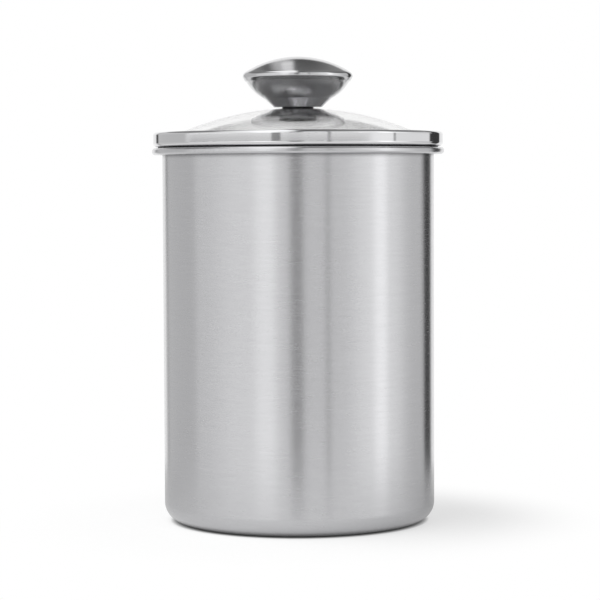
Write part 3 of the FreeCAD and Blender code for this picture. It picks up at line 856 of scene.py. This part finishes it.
def stacked(tree, level, layers):
    """Level after each layer has covered it by its weight."""
    for weight, strength in layers:
        level = add_node(tree, "ShaderNodeMix", {"Factor": weight, "A": level, "B": strength},
                         data_type="FLOAT").outputs["Result"]
    return level


def round_panels(tree, azimuth, level, panels):
    """Level with upright panels given in degrees."""
    return stacked(tree, level, [
        (panel_weight(tree, azimuth, *map(math.radians, place)), strength)
        for _, *place, strength in panels])


def wall_level(tree, azimuth, height):
    """Level of the walls, with the strip at the height of the lid."""
    front = add_node(tree, "ShaderNodeMapRange", {
        "Value": height, "From Min": math.radians(FRONT_RISE[0]),
        "From Max": math.radians(FRONT_RISE[1]),
        "To Min": FRONT_LEVELS[0], "To Max": FRONT_LEVELS[1]})
    strip = round_panels(tree, azimuth, STRIP_LEVEL, [
        ("front wall", *FRONT_WALL, front.outputs["Result"]), *STRIP_PANELS])
    return stacked(tree, round_panels(tree, azimuth, WALL_LEVEL, WALL_PANELS), [
        (panel_weight(tree, height, *map(math.radians, STRIP_HEIGHT)), strip)])


def ceiling_level(tree, axes, height):
    """Level of the ceiling, with its strips and softboxes."""
    across = add_node(tree, "ShaderNodeMath", {0: axes["X"], 1: axes["Z"]},
                      operation="DIVIDE").outputs[0]
    along = add_node(tree, "ShaderNodeMath", {0: axes["Y"], 1: axes["Z"]},
                     operation="DIVIDE").outputs[0]
    rise = add_node(tree, "ShaderNodeMapRange", {
        "Value": height, "From Min": math.radians(CEILING_RISE[0]),
        "From Max": math.radians(CEILING_RISE[1]),
        "To Min": CEILING_LEVELS[0], "To Max": CEILING_LEVELS[1]})
    layers = [(panel_weight(tree, across, *place), strength)
              for _, *place, strength in CEILING_STRIPS]
    for _, wide, deep, strength in CEILING_BOXES:
        box = add_node(tree, "ShaderNodeMath", {
            0: panel_weight(tree, across, *wide), 1: panel_weight(tree, along, *deep)},
            operation="MULTIPLY")
        layers.append((box.outputs[0], strength))
    return stacked(tree, rise.outputs["Result"], layers)


def studio_world(scene):
    """White to the camera and through glass, panels to polished metal, even fill elsewhere."""
    world = bpy.data.worlds.new("Studio")
    scene.world = world
    world.use_nodes = True
    world.cycles.sampling_method = "NONE"
    tree = world.node_tree
    tree.nodes.clear()
    coords = add_node(tree, "ShaderNodeTexCoord")
    axes = add_node(tree, "ShaderNodeSeparateXYZ", {"Vector": coords.outputs["Generated"]}).outputs
    front = add_node(tree, "ShaderNodeMath", {0: axes["Y"], 1: -1.0}, operation="MULTIPLY")
    azimuth = add_node(tree, "ShaderNodeMath", {0: axes["X"], 1: front.outputs[0]},
                       operation="ARCTAN2").outputs[0]
    height = add_node(tree, "ShaderNodeMath", {0: axes["Z"]}, operation="ARCSINE").outputs[0]

    top = round_panels(tree, azimuth, math.radians(WALL_TOP), [
        (*panel, math.radians(elevation)) for *panel, elevation in WALL_TOPS])
    above = add_node(tree, "ShaderNodeMath", {0: height, 1: top}, operation="SUBTRACT")
    over = add_node(tree, "ShaderNodeMapRange", {
        "Value": above.outputs[0], "From Min": -math.radians(WALL_TOP_SOFT),
        "From Max": math.radians(WALL_TOP_SOFT)}, interpolation_type="SMOOTHSTEP")
    under = add_node(tree, "ShaderNodeMapRange", {
        "Value": height, "From Min": math.radians(GROUND_EDGE[0]),
        "From Max": math.radians(GROUND_EDGE[1])}, interpolation_type="SMOOTHSTEP")
    level = stacked(tree, wall_level(tree, azimuth, height), [
        (over.outputs["Result"], ceiling_level(tree, axes, height)),
        (under.outputs["Result"], GROUND_LEVEL)])

    path = add_node(tree, "ShaderNodeLightPath").outputs
    clear = add_node(tree, "ShaderNodeMath", {
        0: path["Is Camera Ray"], 1: path["Is Transmission Ray"]}, operation="MAXIMUM")
    lit = add_node(tree, "ShaderNodeMix", {
        "Factor": path["Is Glossy Ray"], "A": FILL_LEVEL, "B": level}, data_type="FLOAT")
    seen = add_node(tree, "ShaderNodeMix", {
        "Factor": clear.outputs[0], "A": lit.outputs["Result"], "B": 1.0}, data_type="FLOAT")
    shade = add_node(tree, "ShaderNodeBackground", {
        "Color": (1.0, 1.0, 1.0, 1.0), "Strength": seen.outputs["Result"]})
    add_node(tree, "ShaderNodeOutputWorld", {"Surface": shade.outputs["Background"]})


def matt_white(colours):
    # White lacquered board: takes soft shadows, fades to plain white away from the canister.
    material, tree = new_material("Matt white table")
    path = add_node(tree, "ShaderNodeLightPath").outputs
    clear = add_node(tree, "ShaderNodeMath", {
        0: path["Is Camera Ray"], 1: path["Is Transmission Ray"]}, operation="MAXIMUM")
    seen = add_node(tree, "ShaderNodeMath", {
        0: clear.outputs[0], 1: path["Is Glossy Ray"]}, operation="MAXIMUM")
    coords = add_node(tree, "ShaderNodeTexCoord")
    axes = add_node(tree, "ShaderNodeSeparateXYZ", {"Vector": coords.outputs["Object"]})
    # painted light: as steel mirrors it, the table glows brighter at the front than at the back
    mirrored = add_node(tree, "ShaderNodeMapRange", {
        "Value": axes.outputs["Y"], "From Min": MIRROR_SPAN[0], "From Max": MIRROR_SPAN[1],
        "To Min": MIRROR_LIFT[0], "To Max": MIRROR_LIFT[1]})
    # painted contact shadow: the table's glow dims near the canister's base
    contact = add_node(tree, "ShaderNodeAmbientOcclusion", {"Distance": CONTACT_REACH}, samples=8)
    bright = add_node(tree, "ShaderNodeMix", {
        "Factor": path["Is Glossy Ray"], "A": TABLE_LIFT, "B": mirrored.outputs["Result"]},
        data_type="FLOAT")
    lift = add_node(tree, "ShaderNodeMath", {
        0: contact.outputs["AO"], 1: bright.outputs["Result"]}, operation="MULTIPLY")
    glow = add_node(tree, "ShaderNodeEmission", {"Strength": lift.outputs[0]})
    dim = add_node(tree, "ShaderNodeBsdfDiffuse",
                   {"Color": (TABLE_SHADE, TABLE_SHADE, TABLE_SHADE, 1.0)})
    white = add_node(tree, "ShaderNodeAddShader",
                     {0: dim.outputs["BSDF"], 1: glow.outputs["Emission"]})
    paper = add_node(tree, "ShaderNodeBsdfDiffuse", {"Color": (*colours.floor_white, 1.0)})
    sheet = add_node(tree, "ShaderNodeMixShader", {
        0: seen.outputs[0], 1: paper.outputs["BSDF"], 2: white.outputs["Shader"]})
    radius = add_node(tree, "ShaderNodeVectorMath", {0: coords.outputs["Object"]},
                      operation="LENGTH")
    fade = add_node(tree, "ShaderNodeMapRange", {
        "Value": radius.outputs["Value"], "From Min": TABLE_FADE[0], "From Max": TABLE_FADE[1],
        "To Max": clear.outputs[0]}, interpolation_type="SMOOTHSTEP")
    plain = add_node(tree, "ShaderNodeEmission", {"Strength": 1.0})
    edge = add_node(tree, "ShaderNodeMixShader", {
        0: fade.outputs["Result"], 1: sheet.outputs["Shader"], 2: plain.outputs["Emission"]})
    add_node(tree, "ShaderNodeOutputMaterial", {"Surface": edge.outputs["Shader"]})
    return material


def studio_floor(scene):
    """Round white table that keeps the canister's shadow."""
    turns = [math.tau * i / TABLE_SIDES for i in range(TABLE_SIDES)]
    mesh = bpy.data.meshes.new("studio_floor")
    mesh.from_pydata([(TABLE_RADIUS * math.cos(a), TABLE_RADIUS * math.sin(a), -TABLE_DROP)
                      for a in turns], [], [range(TABLE_SIDES)])
    mesh.materials.append(matt_white(scene.canister_colours))
    floor = bpy.data.objects.new("studio_floor", mesh)
    scene.collection.objects.link(floor)


def key_lamp(scene):
    """Broad soft lamp up on the left, which steel doesn't mirror."""
    key = bpy.data.lights.new("key_light", "SUN")
    key.angle = KEY_SPREAD
    key.energy = KEY_STRENGTH
    lamp = bpy.data.objects.new("key_light", key)
    lamp.matrix_world = Vector(KEY_TOWARD).to_track_quat("Z", "Y").to_matrix().to_4x4()
    lamp.visible_glossy = False
    scene.collection.objects.link(lamp)


def photo_camera(scene):
    """Camera at the place of the photograph."""
    view = scene.canister_view
    data = bpy.data.cameras.new("photo_camera")
    data.sensor_width = SENSOR_WIDTH
    data.lens = view.lens
    camera = bpy.data.objects.new("photo_camera", data)
    camera.matrix_world = (
        Matrix.Translation((0.0, -view.distance, view.height))
        @ Matrix.Rotation(view.yaw, 4, "Z")
        @ Matrix.Rotation(math.pi / 2 - view.pitch, 4, "X")
        @ Matrix.Rotation(view.roll, 4, "Z"))
    scene.collection.objects.link(camera)
    scene.camera = camera


class CANISTER_OT_stage(bpy.types.Operator):
    """Plain floor, soft studio light and the camera of the photograph"""
    bl_idname = "canister.stage"
    bl_label = "Stage"

    def execute(self, context):
        scene = context.scene
        scene.view_settings.view_transform = "Standard"
        studio_world(scene)
        studio_floor(scene)
        key_lamp(scene)
        photo_camera(scene)
        return {"FINISHED"}


OPERATORS = (CANISTER_OT_body, CANISTER_OT_gasket, CANISTER_OT_band, CANISTER_OT_glass,
             CANISTER_OT_knob, CANISTER_OT_fastening, CANISTER_OT_stage)
GROUPS = {"canister_sizes": CanisterSizes, "canister_colours": CanisterColours,
          "canister_view": CanisterView}


class CANISTER_PT_sidebar(bpy.types.Panel):
    """Sizes, colours and steps of the canister"""
    bl_idname = "CANISTER_PT_sidebar"
    bl_label = "Food canister"
    bl_space_type = "VIEW_3D"
    bl_region_type = "UI"
    bl_category = "Canister"

    def draw(self, context):
        for group, kind in GROUPS.items():
            box = self.layout.box()
            box.label(text=kind.__doc__)
            for name in kind.__annotations__:
                box.prop(getattr(context.scene, group), name)
        for operator in OPERATORS:
            self.layout.operator(operator.bl_idname)


CLASSES = (*GROUPS.values(), *OPERATORS, CANISTER_PT_sidebar)


def register():
    for item in CLASSES:
        bpy.utils.register_class(item)
    for group, kind in GROUPS.items():
        setattr(bpy.types.Scene, group, bpy.props.PointerProperty(type=kind))


def unregister():
    for group in GROUPS:
        delattr(bpy.types.Scene, group)
    for item in reversed(CLASSES):
        bpy.utils.unregister_class(item)


def main():
    register()
    bpy.ops.canister.body()
    bpy.ops.canister.gasket()
    bpy.ops.canister.band()
    bpy.ops.canister.glass()
    bpy.ops.canister.knob()
    bpy.ops.canister.fastening()
    bpy.ops.canister.stage()


if __name__ == "__main__":
    main()
